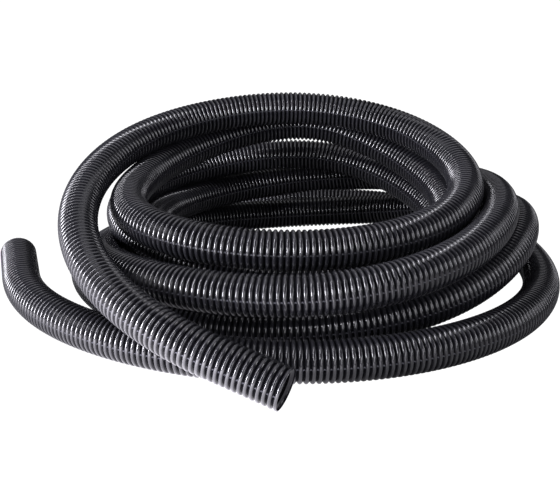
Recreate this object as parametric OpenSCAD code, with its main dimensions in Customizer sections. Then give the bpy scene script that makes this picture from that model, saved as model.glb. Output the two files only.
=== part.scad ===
// Corrugated vacuum hose, 46 mm outside and 38 mm inside, lying in a loose pile of six turns.
//
// The hose is one extruded wall. It is divided here into the two cut ends, which carry the real
// ribs and the true bore, and the runs and turns between them, each a plain hollow tube of the
// hose's outside and inside diameter. Every piece meets the next one face to face.

/* [Hose] */
// Outside diameter over the ribs
outer_d = 46; // [42:0.5:46]
// Inside diameter of the bore
bore_d = 38; // [30:0.5:39]
// Thickness of the plastic at the bottom of a groove
groove_wall = 1.2; // [0.6:0.1:1.4]
// Distance from one rib to the next
rib_pitch = 6.5; // [5:0.5:8]
// Length of a rib's flat land, along the hose
rib_land = 2.6; // [1:0.1:3]
// Length over which a rib rises from its groove, along the hose
rib_shoulder = 0.8; // [0.3:0.1:0.9]

/* [Cut ends] */
// Ribs on each straight cut end
end_ribs = 12; // [8:1:16]

/* [Pile] */
// Sides of the plain tube
tube_sides = 12; // [8:4:12]
// Turning angle between two rings of the tube in a turn, in degrees
turn_step = 30; // [20:5:30]
// The same in the two wider outer runs
run_step = 20; // [15:5:30]

/* [Hidden] */

black = [0.05, 0.05, 0.06];
outer_r = outer_d / 2;
bore_r = bore_d / 2;
groove_r = bore_r + groove_wall;
end_l = end_ribs * rib_pitch;

// The route of the hose's centre line, seen from above, winds clockwise round one upright axis.
// From the front mouth on the floor it climbs over the pile, then comes down turn by turn to the
// rear end. It is a smooth curve steered by one station every 45 degrees: [distance from the axis,
// height]. The first station is 45 degrees before the front, where the angle is zero. Every row
// is one turn.
station_step = 45;
stations = [
  [352, -60], [394, 12], [366, 96], [262, 186], [168, 214], [144, 216], [162, 198], [184, 158],
  [206, 126], [228, 112], [286, 126], [226, 138], [204, 168], [184, 198], [178, 142], [172, 108],
  [174, 80], [184, 62], [216, 68], [266, 104], [268, 112], [236, 140], [198, 96], [170, 62],
  [148, 40], [146, 36], [172, 58], [220, 78], [254, 68], [274, 84], [246, 106], [224, 132],
  [252, 114], [304, 82], [312, 88], [266, 52], [270, 30], [282, 16], [276, 50], [268, 112],
  [254, 58], [254, 32], [274, 22], [314, 24], [322, 22], [340, 30], [324, 28], [288, 22],
  [300, 24], [316, 22], [362, 30], [414, 42], [266, 126]];

// Angles at which the pieces meet, in degrees
front_joint = 17.5;
first_turn = 180;
last_turn = 1980;
rear_joint = 2234.5;

// The route on a uniform cubic B-spline through the stations' weights
function weights(u) = [pow(1 - u, 3), 3 * pow(u, 3) - 6 * u * u + 4,
                       -3 * pow(u, 3) + 3 * u * u + 3 * u + 1, pow(u, 3)] / 6;
function polar(phi) = let (s = phi / station_step + 1, i = floor(s), w = weights(s - i))
  w[0] * stations[i - 1] + w[1] * stations[i] + w[2] * stations[i + 1] + w[3] * stations[i + 2];
function route(phi) = let (p = polar(phi)) [-p[0] * sin(phi), -p[0] * cos(phi), p[1]];

// Directions at a point of the route: along it, sideways on the level, and up
function unit(v) = v / norm(v);
function along(phi) = unit(route(phi + 0.5) - route(phi - 0.5));
function side(phi) = unit(cross(along(phi), [0, 0, 1]));
function up(phi) = cross(side(phi), along(phi));

// Ring of points round the route, and the rings from one angle to another
function ring(phi, r) = [for (k = [0 : tube_sides - 1]) let (a = 360 * k / tube_sides)
  route(phi) + r * cos(a) * side(phi) + r * sin(a) * up(phi)];
function ring_angles(from, to, step) = let (n = ceil((to - from) / step))
  [for (i = [0 : n]) from + (to - from) * i / n];

// The pile stands on z = 0 with its box centred on the axis of the frame
pile_angles = concat([front_joint], [for (a = [30 : 10 : 2230]) a], [rear_joint]);
pile_points = concat([for (a = pile_angles) each ring(a, outer_r)],
                     [for (p = ring(front_joint, outer_r)) p - end_l * along(front_joint)],
                     [for (p = ring(rear_joint, outer_r)) p + end_l * along(rear_joint)]);
function low(k) = min([for (p = pile_points) p[k]]);
function high(k) = max([for (p = pile_points) p[k]]);
pile_shift = [-(low(0) + high(0)) / 2, -(low(1) + high(1)) / 2, -low(2)];

// Hollow tube along the route, with its bore as wide across the flats as the real one
module hose_run(from, to, step) {
  angles = ring_angles(from, to, step);
  n = tube_sides;
  last = len(angles) - 1;
  inner = len(angles) * n;
  points = concat([for (a = angles) each ring(a, outer_r)],
                  [for (a = angles) each ring(a, bore_r / cos(180 / n))]);
  faces = concat(
    [for (j = [0 : last - 1], k = [0 : n - 1]) let (a = j * n + k, b = j * n + (k + 1) % n)
      each [[a, a + n, b], [b, a + n, b + n]]],
    [for (j = [0 : last - 1], k = [0 : n - 1])
      let (a = inner + j * n + k, b = inner + j * n + (k + 1) % n)
      each [[a, b, a + n], [b, b + n, a + n]]],
    [for (k = [0 : n - 1]) let (m = (k + 1) % n)
      each [[k, m, inner + k], [m, inner + m, inner + k]]],
    [for (k = [0 : n - 1]) let (o = last * n, m = (k + 1) % n)
      each [[o + k, inner + o + k, o + m], [o + m, inner + o + k, inner + o + m]]]);
  color(black) translate(pile_shift) polyhedron(points, faces);
}

// One rib in section: half a groove, the rise, the land, the fall and half a groove
function rib(z) = let (g = (rib_pitch - rib_land - 2 * rib_shoulder) / 2, s = rib_shoulder)
  [[groove_r, z], [groove_r, z + g], [outer_r, z + g + s], [outer_r, z + g + s + rib_land],
   [groove_r, z + g + 2 * s + rib_land]];

// Straight cut end along +Z, with its mouth on top, cut off where a rib's land ends
module cut_end() {
  groove_part = (rib_pitch - rib_land) / 2;
  ribs = [for (i = [0 : end_ribs - 1]) each rib(i * rib_pitch + groove_part)];
  rotate_extrude($fn = 96)
    polygon(concat([[bore_r, 0], [groove_r, 0]], [for (i = [0 : len(ribs) - 2]) ribs[i]],
                   [[bore_r, end_l]]));
}

// Stand a piece that points along +Z on the point p, pointing along d
module aim(p, d) {
  translate(p) rotate([0, acos(d[2]), atan2(d[1], d[0])]) children();
}

module front_end() {
  color(black) translate(pile_shift) aim(route(front_joint), -along(front_joint)) cut_end();
}

module front_run() { hose_run(front_joint, first_turn, run_step); }

module turn(i) { hose_run(first_turn + 360 * (i - 1), first_turn + 360 * i, turn_step); }
module turn_1() { turn(1); }
module turn_2() { turn(2); }
module turn_3() { turn(3); }
module turn_4() { turn(4); }
module turn_5() { turn(5); }

module rear_run() { hose_run(last_turn, rear_joint, run_step); }

module rear_end() {
  color(black) translate(pile_shift) aim(route(rear_joint), along(rear_joint)) cut_end();
}

front_end();
front_run();
turn_1();
turn_2();
turn_3();
turn_4();
turn_5();
rear_run();
rear_end();
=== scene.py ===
# %% [markdown]
# # A corrugated vacuum hose, lying in a loose pile
# One black plastic hose, 46 mm over its ribs, winds down from an open front end through six turns
# to an open rear end. The solids that come with the frame say where it lies; this lesson gives
# them their ribs, their gloss and a plain studio. Everything is in metres, with Z up.

# %% Load the frame
import math

import bpy
import numpy as np
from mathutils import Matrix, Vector


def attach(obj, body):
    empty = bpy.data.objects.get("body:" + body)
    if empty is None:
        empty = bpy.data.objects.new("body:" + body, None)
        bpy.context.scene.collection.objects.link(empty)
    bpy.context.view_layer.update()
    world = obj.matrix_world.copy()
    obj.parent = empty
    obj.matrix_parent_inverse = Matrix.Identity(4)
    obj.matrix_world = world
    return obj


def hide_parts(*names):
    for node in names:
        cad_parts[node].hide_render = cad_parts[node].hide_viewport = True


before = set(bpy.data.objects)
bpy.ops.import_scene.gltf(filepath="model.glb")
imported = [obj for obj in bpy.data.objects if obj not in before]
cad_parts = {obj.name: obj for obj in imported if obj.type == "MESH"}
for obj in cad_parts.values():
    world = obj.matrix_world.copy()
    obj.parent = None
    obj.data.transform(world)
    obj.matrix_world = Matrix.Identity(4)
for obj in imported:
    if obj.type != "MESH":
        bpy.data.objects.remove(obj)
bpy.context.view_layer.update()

# %% [markdown]
# ## The hose's centre line
# A hose keeps one diameter along its whole length, so the pile is one curve with a tube round it.
# The curve could be drawn by hand with Bezier handles, but a formula keeps it exactly on the
# solids. Seen from above it winds clockwise round an upright axis, and every 45 degrees a station
# says how far from the axis it is and how high. Between the stations it is a uniform cubic
# B-spline, which has no kinks, as a stiff hose has none. The stations are those of the solids.

# %% Stations, in metres: distance from the axis, height
STATION_STEP = 45  # degrees
STATIONS = np.array([
    [0.352, -0.060], [0.394, 0.012], [0.366, 0.096], [0.262, 0.186], [0.168, 0.214], [0.144, 0.216],
    [0.162, 0.198], [0.184, 0.158], [0.206, 0.126], [0.228, 0.112], [0.286, 0.126], [0.226, 0.138],
    [0.204, 0.168], [0.184, 0.198], [0.178, 0.142], [0.172, 0.108], [0.174, 0.080], [0.184, 0.062],
    [0.216, 0.068], [0.266, 0.104], [0.268, 0.112], [0.236, 0.140], [0.198, 0.096], [0.170, 0.062],
    [0.148, 0.040], [0.146, 0.036], [0.172, 0.058], [0.220, 0.078], [0.254, 0.068], [0.274, 0.084],
    [0.246, 0.106], [0.224, 0.132], [0.252, 0.114], [0.304, 0.082], [0.312, 0.088], [0.266, 0.052],
    [0.270, 0.030], [0.282, 0.016], [0.276, 0.050], [0.268, 0.112], [0.254, 0.058], [0.254, 0.032],
    [0.274, 0.022], [0.314, 0.024], [0.322, 0.022], [0.340, 0.030], [0.324, 0.028], [0.288, 0.022],
    [0.300, 0.024], [0.316, 0.022], [0.362, 0.030], [0.414, 0.042], [0.266, 0.126]])
print(len(STATIONS), "stations, the first one step before the front")


# %% The route
def polar_route(angle):
    """Centre line at each turning angle, in degrees. The four stations round the angle are
    weighted by the cubic B-spline's polynomials, and the distance is then turned round the axis."""
    place = angle / STATION_STEP + 1
    first = np.floor(place).astype(int)
    u = place - first
    weights = np.stack([(1 - u)**3, 3 * u**3 - 6 * u**2 + 4, -3 * u**3 + 3 * u**2 + 3 * u + 1, u**3])
    station = (weights[:, :, None] / 6 * STATIONS[first + np.arange(-1, 3)[:, None]]).sum(0)
    turn = np.radians(angle)
    return np.stack([-station[:, 0] * np.sin(turn), -station[:, 0] * np.cos(turn), station[:, 1]], 1)


def unit(v):
    """Each vector divided by its length."""
    return v / np.linalg.norm(v, axis=-1, keepdims=True)


def heading(angle):
    """Direction of the route at each angle, from two points half a degree either side."""
    return unit(polar_route(angle + 0.5) - polar_route(angle - 0.5))


# %% [markdown]
# ## Round sections, and the pile in its place
# Everything here is a ring of points round the line: the ribs later, and first the solids' own
# twelve-sided sections. The pile stands on the floor with its box centred on the frame's axis. The
# box could be read off the solids, but the same twelve points round the line give it too, and then
# the line needs nothing but its own formula.

# %% Rings of points
def section_points(centre, along, radius, sides):
    """Points of round sections: centre + radius (cos a side + sin a up), a going once round. Side
    is level, and side and up are at right angles to the hose's own direction."""
    side = unit(np.cross(along, [0, 0, 1]))
    up = np.cross(side, along)
    a = np.linspace(0, 2 * np.pi, sides, endpoint=False)[:, None]
    radius = np.broadcast_to(np.asarray(radius, float), len(centre))[:, None, None]
    return centre[:, None] + radius * (np.cos(a) * side[:, None] + np.sin(a) * up[:, None])


# %% Centre the pile on its box
OUTER_R = 0.023  # over the ribs
RIB_PITCH, END_RIBS = 0.0065, 12  # from rib to rib; ribs on a straight cut end
FRONT_JOINT, REAR_JOINT = 17.5, 2234.5  # angles where the curve meets the cut ends
SOLID_SIDES = 12

end_length = END_RIBS * RIB_PITCH
probe_angles = np.array([FRONT_JOINT, *range(30, 2231, 10), REAR_JOINT], float)  # every 10 degrees
probe = section_points(polar_route(probe_angles), heading(probe_angles), OUTER_R, SOLID_SIDES)
mouths = np.array([probe[0] - end_length * heading(probe_angles[:1]),
                   probe[-1] + end_length * heading(probe_angles[-1:])])
corners = np.concatenate([probe, mouths]).reshape(-1, 3)
low, high = corners.min(0), corners.max(0)
PILE_SHIFT = -np.array([(low[0] + high[0]) / 2, (low[1] + high[1]) / 2, low[2]])
print("pile shift", PILE_SHIFT.round(4))

# %% [markdown]
# ## The camera
# The viewer stands in front of the pile and looks down at it at about seventeen degrees, so the
# turns show as flat ovals and the floor fills the view. The camera could be aimed with a Track To
# constraint, but then a change of the pile would turn it. It is placed from the pile's own axis.

# %% Camera
FOCAL_PX, IMAGE_W, SENSOR_MM = 920, 560, 36
CAMERA_PITCH, CAMERA_HEIGHT = 17.2, 0.410
AXIS_FROM_CAMERA = np.array([0.050, 1.190, 0])

camera_data = bpy.data.cameras.new("camera")
camera_data.sensor_width = SENSOR_MM
camera_data.lens = FOCAL_PX / IMAGE_W * SENSOR_MM
camera_data.clip_end = 50
camera = bpy.data.objects.new("camera", camera_data)
bpy.context.scene.collection.objects.link(camera)
camera.location = Vector(PILE_SHIFT - AXIS_FROM_CAMERA + [0, 0, CAMERA_HEIGHT])
camera.rotation_euler = (math.radians(90 - CAMERA_PITCH), 0, 0)
bpy.context.scene.camera = camera
print("camera at", [round(v, 3) for v in camera.location], "lens", round(camera_data.lens, 1), "mm")

# %% [markdown]
# ## Distance along the hose
# Ribs are spaced evenly along the hose and not evenly in angle. Blender could resample a curve
# object at even lengths, but this line is a formula, so it is measured where it is made: it is
# sampled finely, the straight cut ends are added, and the running length becomes its parameter.

# %% Measure the line
FINE_STEP = 0.25  # degrees
END_STEPS = 40  # points on a straight cut end
MOUTH_PART = 0.7  # part of a rib that is left at a mouth, from its groove to the cut

fine = np.arange(FRONT_JOINT, REAR_JOINT + 0.01, FINE_STEP)
line = polar_route(fine) + PILE_SHIFT
line_along = heading(fine)
steps = np.linspace(end_length, 0, END_STEPS, endpoint=False)[:, None]
line = np.concatenate([line[:1] - steps * line_along[:1], line,
                       line[-1:] + steps[::-1] * line_along[-1:]])
line_along = np.concatenate([np.repeat(line_along[:1], END_STEPS, 0), line_along,
                             np.repeat(line_along[-1:], END_STEPS, 0)])
run = np.concatenate([[0], np.linalg.norm(np.diff(line, axis=0), axis=1).cumsum()])
HOSE_LENGTH = run[-1]
RIBS = round(HOSE_LENGTH / RIB_PITCH - 2 * MOUTH_PART)
pitch = HOSE_LENGTH / (RIBS + 2 * MOUTH_PART)
print(f"hose {HOSE_LENGTH:.3f} m long, {RIBS} whole ribs, {pitch * 1000:.3f} mm apart")


# %% Places along the hose
def groove(number):
    """Distance along the hose of a groove: the first lies most of a rib behind the front mouth."""
    return (number + MOUTH_PART) * pitch


def at(distance):
    """Centre point and direction at each distance along the hose, read off the measured line."""
    point = np.stack([np.interp(distance, run, line[:, k]) for k in range(3)], 1)
    along = np.stack([np.interp(distance, run, line_along[:, k]) for k in range(3)], 1)
    return point, unit(along)


def rib_at(angle):
    """Number of the groove nearest to a turning angle of the route."""
    return round(float(np.interp(angle, fine, run[END_STEPS:-END_STEPS])) / pitch - MOUTH_PART)


# %% [markdown]
# ## The corrugated wall
# Extruding makes ring ribs: a rounded crest, then a V-shaped groove whose steep sides keep most of
# the light out. A bump in the material would leave the outline smooth, and rings set side by side
# would leave seams, so the ribs are one surface. In section the wall's outside is one wave repeated
# on every rib, and the inside is the bore. Carrying that closed section along the line gives a
# closed shell. The grid has one row for each point of the section and one column for each direction
# round the hose.
#
# The wall is thin, so a mouth cut through a rib shows a thin lip, and the bore behind it has the
# ribs' inner side. Twenty ribs deep nobody sees it any more, and the bore becomes plain.

# %% Section of the wall
# Fraction of the pitch and height above the groove, from 0 to 1, of each row from the bottom of a
# groove up to the crest; the rest of the rib is their mirror image
RIB_RISE = np.array([(0.00, 0.00), (0.05, 0.14), (0.10, 0.29), (0.15, 0.44), (0.20, 0.59),
                     (0.25, 0.735), (0.305, 0.87), (0.37, 0.96), (0.45, 1.00)])
RIB_SECTION = np.concatenate([RIB_RISE, (RIB_RISE * (-1, 1) + (1, 0))[:0:-1]])
BORE_R, GROOVE_R = 0.019, 0.0202
GROOVE_WALL, CREST_WALL = GROOVE_R - BORE_R, 0.0009  # thickness in a groove and on a crest
OPEN_RIBS = 20  # ribs behind a mouth that have an inner side
LINE_TOP = 0.7  # rib height at which the parting line has faded out; the bore counts as this high


def wall_section(first, last):
    """Distance along the hose, radius and rib height of every row of a wall from one groove to
    another: along the outside, then back along the bore. A piece with a mouth goes on to the cut,
    and its bore follows the outside, one wall inside it, for as far as it can be seen."""
    ribs = np.arange(first - (first == 0), last + (last == RIBS))[:, None]
    s = np.append((ribs + RIB_SECTION[:, 0]).ravel(), ribs[-1, 0] + 1)
    rise = np.append(np.tile(RIB_SECTION[:, 1], len(ribs)), 0)
    low_cut, high_cut = max(s[0], -MOUTH_PART), min(s[-1], RIBS + MOUTH_PART)
    inside = (s > low_cut) & (s < high_cut)
    rise = np.concatenate([[np.interp(low_cut, s, rise)], rise[inside],
                           [np.interp(high_cut, s, rise)]])
    s = np.concatenate([[low_cut], s[inside], [high_cut]])
    out_r = GROOVE_R + (OUTER_R - GROOVE_R) * rise
    shown = ((first == 0) & (s < OPEN_RIBS)) | ((last == RIBS) & (s > RIBS - OPEN_RIBS))
    plain = ~shown & (np.isclose(s % 2, 0) | (s == low_cut) | (s == high_cut))
    in_r = np.where(shown, out_r - GROOVE_WALL * (1 - rise) - CREST_WALL * rise, BORE_R)
    keep = (shown | plain)[::-1]
    return (groove(np.concatenate([s, s[::-1][keep]])), np.concatenate([out_r, in_r[::-1][keep]]),
            np.concatenate([rise, np.full(keep.sum(), LINE_TOP)]))


# %% One length of hose
ROUND = 32  # directions round the hose
SHARP_ANGLE = math.radians(62)  # faces that meet at more, as in a groove, keep a sharp edge


def hose_piece(name, first, last):
    """A closed shell: each row of the section is a ring of points, and row i, column j is joined
    to row i + 1, column j + 1, both counted round and round. Two things are kept for the material:
    a map with the part of the way round and along the hose, and the rib height of every point."""
    s, r, rise = wall_section(first, last)
    centre, along = at(s)
    points = section_points(centre, along, r, ROUND).reshape(-1, 3)
    row, col = np.meshgrid(np.arange(len(s)), np.arange(ROUND), indexing="ij")
    rows, cols = np.stack([row, row, row + 1, row + 1], -1), np.stack([col, col + 1, col + 1, col], -1)
    corners = (rows % len(s) * ROUND + cols % ROUND).reshape(-1, 4)
    mesh = bpy.data.meshes.new(name)
    mesh.vertices.add(len(points))
    mesh.vertices.foreach_set("co", points.ravel())
    mesh.loops.add(corners.size)
    mesh.loops.foreach_set("vertex_index", corners.ravel())
    mesh.polygons.add(len(corners))
    mesh.polygons.foreach_set("loop_start", np.arange(len(corners)) * 4)
    mesh.update(calc_edges=True)
    hose_map = np.stack([cols / ROUND, s[rows % len(s)] / HOSE_LENGTH], -1)
    mesh.uv_layers.new(name="hose_map").data.foreach_set("uv", hose_map.ravel())
    mesh.attributes.new("rib_height", "FLOAT", "POINT").data.foreach_set(
        "value", np.repeat(rise, ROUND))
    mesh.shade_smooth()
    mesh.set_sharp_from_angle(angle=SHARP_ANGLE)
    piece = bpy.data.objects.new(name, mesh)
    bpy.context.scene.collection.objects.link(piece)
    print(f"{name}: grooves {first} to {last}, {s.max() - s.min():.3f} m, "
          f"{2 * len(corners)} triangles")
    return piece, s.min(), s.max()


# %% [markdown]
# ## The lengths of hose
# The whole hose could be one mesh, but that would be too heavy to handle, so it is made in lengths:
# the run up from the front mouth, each of five turns in a right and a left half, and the run out to
# the rear mouth in two. Each length starts and stops at the bottom of a groove, where the eye finds
# no join.

FIRST_TURN, LAST_TURN, REAR_SPLIT = 180, 1980, 2110  # degrees
# Name: angles where it starts and stops, none at a mouth, and the solids that it stands for
LENGTHS = {"front_hose": (None, FIRST_TURN, ("front_end", "front_run"))}
for turn in range(1, 6):
    back = 360 * (turn - 1) + FIRST_TURN
    LENGTHS[f"turn_{turn}_right"] = (back, back + 180, (f"turn_{turn}",))
    LENGTHS[f"turn_{turn}_left"] = (back + 180, back + 360, (f"turn_{turn}",))
LENGTHS["rear_hose_right"] = (LAST_TURN, REAR_SPLIT, ("rear_run",))
LENGTHS["rear_hose_left"] = (REAR_SPLIT, None, ("rear_run", "rear_end"))

hose = []
for name, (start, stop, solids) in LENGTHS.items():
    first = 0 if start is None else rib_at(start)
    last = RIBS if stop is None else rib_at(stop)
    piece, begin, end = hose_piece(name, first, last)
    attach(piece, "root")
    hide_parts(*solids)
    hose.append(piece)
print(len(hose), "lengths of hose")

# %% [markdown]
# ## Two helpers for shaders
# A shader is a net of small nodes. Placing each one by hand takes a handful of lines, and most of
# them here are arithmetic or a change of range, so two helpers place and link those.

# %% Node helpers
def calculate(tree, operation, first, second=0.0, third=0.0):
    """One arithmetic node; each value is a socket or a number."""
    step = tree.nodes.new("ShaderNodeMath")
    step.operation = operation
    for socket, value in zip(step.inputs, (first, second, third)):
        if isinstance(value, (int, float)):
            socket.default_value = value
        else:
            tree.links.new(value, socket)
    return step.outputs["Value"]


def spread(tree, value, given, wanted, shape="LINEAR"):
    """A value carried from the range given, two numbers, to the range wanted, and held at its
    ends."""
    step = tree.nodes.new("ShaderNodeMapRange")
    step.interpolation_type = shape
    for socket, number in zip(("From Min", "From Max", "To Min", "To Max"), (*given, *wanted)):
        step.inputs[socket].default_value = number
    tree.links.new(value, step.inputs["Value"])
    return step.outputs["Result"]


# %% [markdown]
# ## Parting line and its painted glint
# The halves of the mould leave a fine line along the inner and the outer side of the hose. Its slight
# relief is real; the pale dot that it shows in every groove is a painted highlight, a glint put into
# the colour. It could be a thin strip of its own, but it has no depth to speak of, so it is a mask
# that follows the map round the hose and fades out up the ribs.

# %% Parting line, as a node group
LINE_EDGE = (0.008, 0.015)  # distances from the line, in parts of half the way round


def parting_line_and_glint():
    """1 on the line in the bottom of a groove, 0 away from it and high on a rib. Twice the part of
    the way round the hose, plus a half, wraps to a half on both lines; how far it is from a half is
    the distance. The mask is the closeness times the fade: one minus rib height over LINE_TOP."""
    group = bpy.data.node_groups.new("parting_line_and_glint", "ShaderNodeTree")
    group.interface.new_socket("Around", in_out="INPUT", socket_type="NodeSocketFloat")
    group.interface.new_socket("Rib height", in_out="INPUT", socket_type="NodeSocketFloat")
    group.interface.new_socket("Line", in_out="OUTPUT", socket_type="NodeSocketFloat")
    given, result = group.nodes.new("NodeGroupInput"), group.nodes.new("NodeGroupOutput")
    # The pale colour that the material gives the line is a painted highlight, a glint in each groove;
    # the line's relief is real.
    wrapped = calculate(group, "MULTIPLY_ADD", given.outputs["Around"], 2, 0.5)
    offset = calculate(group, "SUBTRACT", calculate(group, "FRACT", wrapped), 0.5)
    distance = calculate(group, "ABSOLUTE", offset)
    edge = spread(group, distance, LINE_EDGE, (1, 0), "SMOOTHSTEP")
    fade = spread(group, given.outputs["Rib height"], (0, LINE_TOP), (1, 0))
    group.links.new(calculate(group, "MULTIPLY", edge, fade), result.inputs["Line"])
    return group


# %% [markdown]
# ## Black plastic
# The wall is polyethylene. It is nearly black, so what the eye reads is reflection. One even gloss
# would mirror the room in the grooves too and hide the ribs in the bends. Handling keeps the crests
# polished instead: their gloss is a clear coat that fades out down the sides of the grooves, where
# the plastic is dull and some dust stays. The crests are also greyer than the grooves, partly from
# wear and partly as painted light: grey crests and black grooves stand in for light on the crests
# and shade in the grooves. The parting line's pale dot in each groove is a painted highlight.

# %% Hose material
# Grey is also painted light here: on the parting line it is a painted highlight, and on the crests it
# is partly painted light against painted shade in the grooves.
BLACK, GREY = (0.004, 0.004, 0.0055, 1), (0.20, 0.20, 0.23, 1)
CREST_WEAR_AND_PAINTED_LIGHT = (0.045, 0.085)  # share of grey on a crest, from place to place
CLOUDS = (0.14, 0.19)  # roughness, from place to place
SCUFF_GREY, DUST_GREY = 0.03, 0.01  # what scuffs and dust add to the share of grey
SCUFF_ROUGH, DUST_ROUGH = 0.05, 0.10  # and to the roughness
POLISHED = (0.6, 0.95)  # rib heights between which the coat rises
NOISE_MIDDLE = (0.35, 0.65)  # the part of a noise's range that is used
RING_SCALE = (18, 1200, 1)  # of the rings of drawn plastic, round the hose and along it
LINE_RELIEF, FINE_RELIEF = 0.05, 0.001  # heights in the bump, in millimetres


def black_plastic():
    """Principled black. Colour goes from black to grey by the line, whose pale grey is a painted
    highlight, or by the crest grey, which is a cloud times the square of the rib height and is partly
    wear and partly painted light on the crests against painted shade in the grooves; roughness is a
    slow cloudiness plus scuffs on the crests and dust in the grooves; the coat rises smoothly from 0
    to 1 on the upper part of a rib; the bump adds up the line, faint rings of drawn plastic and the
    scuffs."""
    material = bpy.data.materials.new("black_plastic")
    material.use_nodes = True
    tree = material.node_tree
    nodes, links = tree.nodes, tree.links
    shader = nodes["Principled BSDF"]
    shader.inputs["IOR"].default_value = 1.6
    shader.inputs["Specular IOR Level"].default_value = 0.15
    shader.inputs["Coat Roughness"].default_value = 0.15
    shader.inputs["Coat IOR"].default_value = 1.65
    coords = nodes.new("ShaderNodeTexCoord")
    attribute = nodes.new("ShaderNodeAttribute")
    attribute.attribute_name = "rib_height"
    height = attribute.outputs["Fac"]

    def noise(scale, detail, wanted, vector=coords.outputs["Object"]):
        """Noise whose middle part is spread over the range wanted."""
        texture = nodes.new("ShaderNodeTexNoise")
        texture.inputs["Scale"].default_value, texture.inputs["Detail"].default_value = scale, detail
        links.new(vector, texture.inputs["Vector"])
        return spread(tree, texture.outputs["Fac"], NOISE_MIDDLE, wanted)

    split, mask = nodes.new("ShaderNodeSeparateXYZ"), nodes.new("ShaderNodeGroup")
    mask.node_tree = parting_line_and_glint()
    links.new(coords.outputs["UV"], split.inputs[0])
    links.new(split.outputs["X"], mask.inputs["Around"])
    links.new(height, mask.inputs["Rib height"])
    line = mask.outputs["Line"]
    stretched = nodes.new("ShaderNodeMapping")
    stretched.inputs["Scale"].default_value = RING_SCALE
    links.new(coords.outputs["UV"], stretched.inputs["Vector"])

    scuffs = calculate(tree, "MULTIPLY", noise(700, 2, (0, 1)), height)
    dust = calculate(tree, "MULTIPLY", noise(60, 3, (0, 0.5)),
                     calculate(tree, "SUBTRACT", 1.0, height))
    rings = noise(4, 3, (0, 1), stretched.outputs["Vector"])

    colour = nodes.new("ShaderNodeMix")
    colour.data_type = "RGBA"
    colour.inputs["A"].default_value, colour.inputs["B"].default_value = BLACK, GREY
    # Partly wear, partly painted light: grey rising with the square of the rib height makes the crests
    # lighter and the grooves black, standing in for light on the crests and shade in the grooves.
    crest = calculate(tree, "MULTIPLY", calculate(tree, "POWER", height, 2), noise(25, 3, CREST_WEAR_AND_PAINTED_LIGHT))
    grey = calculate(tree, "MULTIPLY_ADD", dust, DUST_GREY, crest)
    grey = calculate(tree, "MULTIPLY_ADD", scuffs, SCUFF_GREY, grey)
    # Painted highlight: the line's pale grey stands in for a glint in each groove.
    links.new(calculate(tree, "MAXIMUM", line, grey), colour.inputs["Factor"])
    links.new(colour.outputs["Result"], shader.inputs["Base Color"])

    rough = calculate(tree, "MULTIPLY_ADD", scuffs, SCUFF_ROUGH, noise(35, 3, CLOUDS))
    links.new(calculate(tree, "MULTIPLY_ADD", dust, DUST_ROUGH, rough), shader.inputs["Roughness"])
    links.new(spread(tree, height, POLISHED, (0, 1), "SMOOTHSTEP"), shader.inputs["Coat Weight"])

    relief = calculate(tree, "MULTIPLY", scuffs, -FINE_RELIEF)
    relief = calculate(tree, "MULTIPLY_ADD", rings, FINE_RELIEF, relief)
    bump = nodes.new("ShaderNodeBump")
    bump.inputs["Strength"].default_value = 1.0
    bump.inputs["Distance"].default_value = 0.001
    links.new(calculate(tree, "MULTIPLY_ADD", line, LINE_RELIEF, relief), bump.inputs["Height"])
    links.new(bump.outputs["Normal"], shader.inputs["Normal"])
    return material


plastic = black_plastic()
for piece in hose:
    piece.data.materials.append(plastic)
print(plastic.name, "has", len(plastic.node_tree.nodes), "nodes, on", plastic.users, "lengths")

# %% [markdown]
# ## A plain floor
# The floor looks white. Were it white in the gloss too, it would fill the lower half of every rib
# with light, so in the plastic it is dark, except for a pool of light at the left front that
# brightens the lower side of the hose there. The pool could be a lamp that lies on the floor, but
# the plastic would mirror its hard edge; a glow in the floor's own material fades out softly.

# %% Floor
POOL_CENTRE, POOL_RADII, POOL_GLOW = (-0.55, -0.50), (0.55, 0.25), 7.5
SEEN_WHITE, WHITE_SHARE = 1.15, 0.95  # what the camera sees, and its share of the floor's look
FLOOR_HALF = 12.0


def pale_floor():
    """A matt pale floor with a pool of light at the left front, whose strength falls off as
    exp(-distance to the fourth), the distance being counted in radii of the pool. Seen straight from
    the camera it is nearly all plain white."""
    material = bpy.data.materials.new("pale_floor")
    material.use_nodes = True
    tree = material.node_tree
    nodes, links = tree.nodes, tree.links
    shader = nodes["Principled BSDF"]
    shader.inputs["Base Color"].default_value = (0.35, 0.35, 0.35, 1)
    shader.inputs["Roughness"].default_value = 0.8
    shader.inputs["Specular IOR Level"].default_value = 0.1
    shader.inputs["Emission Color"].default_value = (0.94, 0.91, 1.0, 1)
    coords = nodes.new("ShaderNodeTexCoord")
    centred = nodes.new("ShaderNodeMapping")
    centred.vector_type = "TEXTURE"
    centred.inputs["Location"].default_value = (*POOL_CENTRE, 0)
    centred.inputs["Scale"].default_value = (*POOL_RADII, 1)
    distance = nodes.new("ShaderNodeVectorMath")
    distance.operation = "LENGTH"
    links.new(coords.outputs["Object"], centred.inputs["Vector"])
    links.new(centred.outputs["Vector"], distance.inputs[0])
    fourth = calculate(tree, "POWER", distance.outputs["Value"], 4)
    glow = calculate(tree, "EXPONENT", calculate(tree, "MULTIPLY", fourth, -1))
    links.new(calculate(tree, "MULTIPLY", glow, POOL_GLOW), shader.inputs["Emission Strength"])
    white = nodes.new("ShaderNodeEmission")
    white.inputs["Strength"].default_value = SEEN_WHITE
    rays, mix = nodes.new("ShaderNodeLightPath"), nodes.new("ShaderNodeMixShader")
    links.new(calculate(tree, "MULTIPLY", rays.outputs["Is Camera Ray"], WHITE_SHARE),
              mix.inputs["Fac"])
    links.new(shader.outputs["BSDF"], mix.inputs[1])
    links.new(white.outputs["Emission"], mix.inputs[2])
    links.new(mix.outputs["Shader"], nodes["Material Output"].inputs["Surface"])
    return material


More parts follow.
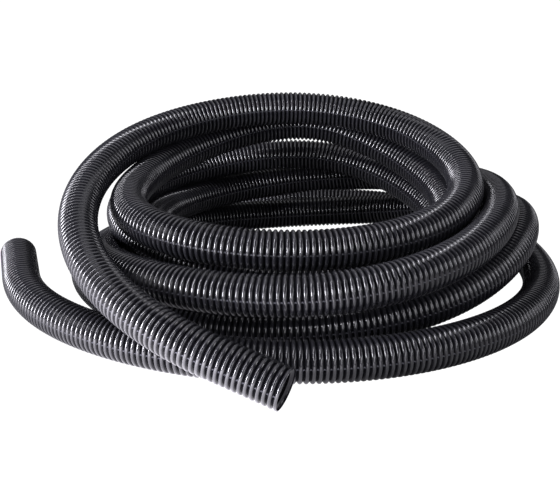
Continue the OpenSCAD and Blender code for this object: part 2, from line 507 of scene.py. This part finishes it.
floor_mesh = bpy.data.meshes.new("floor")
floor_mesh.from_pydata([(-FLOOR_HALF, -FLOOR_HALF, 0), (FLOOR_HALF, -FLOOR_HALF, 0),
                        (FLOOR_HALF, FLOOR_HALF, 0), (-FLOOR_HALF, FLOOR_HALF, 0)], [], [(0, 1, 2, 3)])
floor = bpy.data.objects.new("floor", floor_mesh)
bpy.context.scene.collection.objects.link(floor)
floor.data.materials.append(pale_floor())
print("floor", 2 * FLOOR_HALF, "m square")

# %% [markdown]
# ## Softboxes
# Gloss black shows its lights one by one, so each has a task. A small bright one low at the left
# puts one dash on each rib, and a tall one above it draws the line along the shoulders. Weak ones
# at the right, in front, straight above and behind turn the crests grey. One bright sky would be
# quicker, but it would turn the whole hose grey.

# %% Softboxes
COOL_WHITE = (0.94, 0.93, 1.0)
PILE_MIDDLE = Vector((0, 0, 0.1))
# Name, azimuth, elevation, distance, (width, height), radiance
SOFTBOXES = [
    ("left_key", -58, 9, 1.9, (0.45, 0.6), 60),
    ("left_tall", -62, 40, 1.9, (0.25, 1.6), 23),
    ("left_back", -112, 9, 1.9, (0.3, 0.6), 3),
    ("right_key", 78, 18, 1.9, (0.45, 0.9), 6),
    ("right_back", 106, 26, 1.9, (0.7, 0.6), 1.5),
    ("front", 22, 21, 1.9, (0.8, 0.5), 4.2),
    ("front_low", 5, 7, 1.9, (2.2, 0.45), 1.8),
    ("overhead", 180, 84, 2.1, (2.2, 1.8), 0.9),
    ("back", 180, 42, 2.1, (2.2, 0.7), 0.5)]


def softbox(name, azimuth, elevation, distance, size, radiance):
    """A rectangular area light that faces the middle of the pile. Its place is given as seen from
    there: azimuth counts from the viewer to the right, elevation from the floor. Its power is pi
    times its area times how bright its face looks."""
    turn, rise = math.radians(azimuth), math.radians(elevation)
    out = Vector((math.sin(turn) * math.cos(rise), -math.cos(turn) * math.cos(rise), math.sin(rise)))
    data = bpy.data.lights.new(name, "AREA")
    data.shape = "RECTANGLE"
    data.size, data.size_y = size
    data.energy, data.color = math.pi * size[0] * size[1] * radiance, COOL_WHITE
    box = bpy.data.objects.new(name, data)
    bpy.context.scene.collection.objects.link(box)
    box.location = PILE_MIDDLE + distance * out
    box.rotation_euler = out.to_track_quat("Z", "Y").to_euler()
    print(f"{name}: {data.energy:.1f} W")


for values in SOFTBOXES:
    softbox(*values)

# %% [markdown]
# ## The room
# Behind the floor's far edge the room looks as white as the floor does. An all white room would be
# simpler, but every rib would mirror it. Here only the camera sees the white; in the plastic the
# room is nearly black, as a studio is whose lights all point at the subject.

# %% The room
ROOM_GLOW = 0.04
world = bpy.data.worlds.new("studio")
world.use_nodes = True
nodes, links = world.node_tree.nodes, world.node_tree.links
nodes["Background"].inputs["Color"].default_value = (1, 1, 1, 1)
rays = nodes.new("ShaderNodeLightPath")
strength = spread(world.node_tree, rays.outputs["Is Camera Ray"], (0, 1), (ROOM_GLOW, SEEN_WHITE))
links.new(strength, nodes["Background"].inputs["Strength"])
bpy.context.scene.world = world
bpy.context.scene.view_settings.view_transform = "Standard"
print("room glow", ROOM_GLOW)
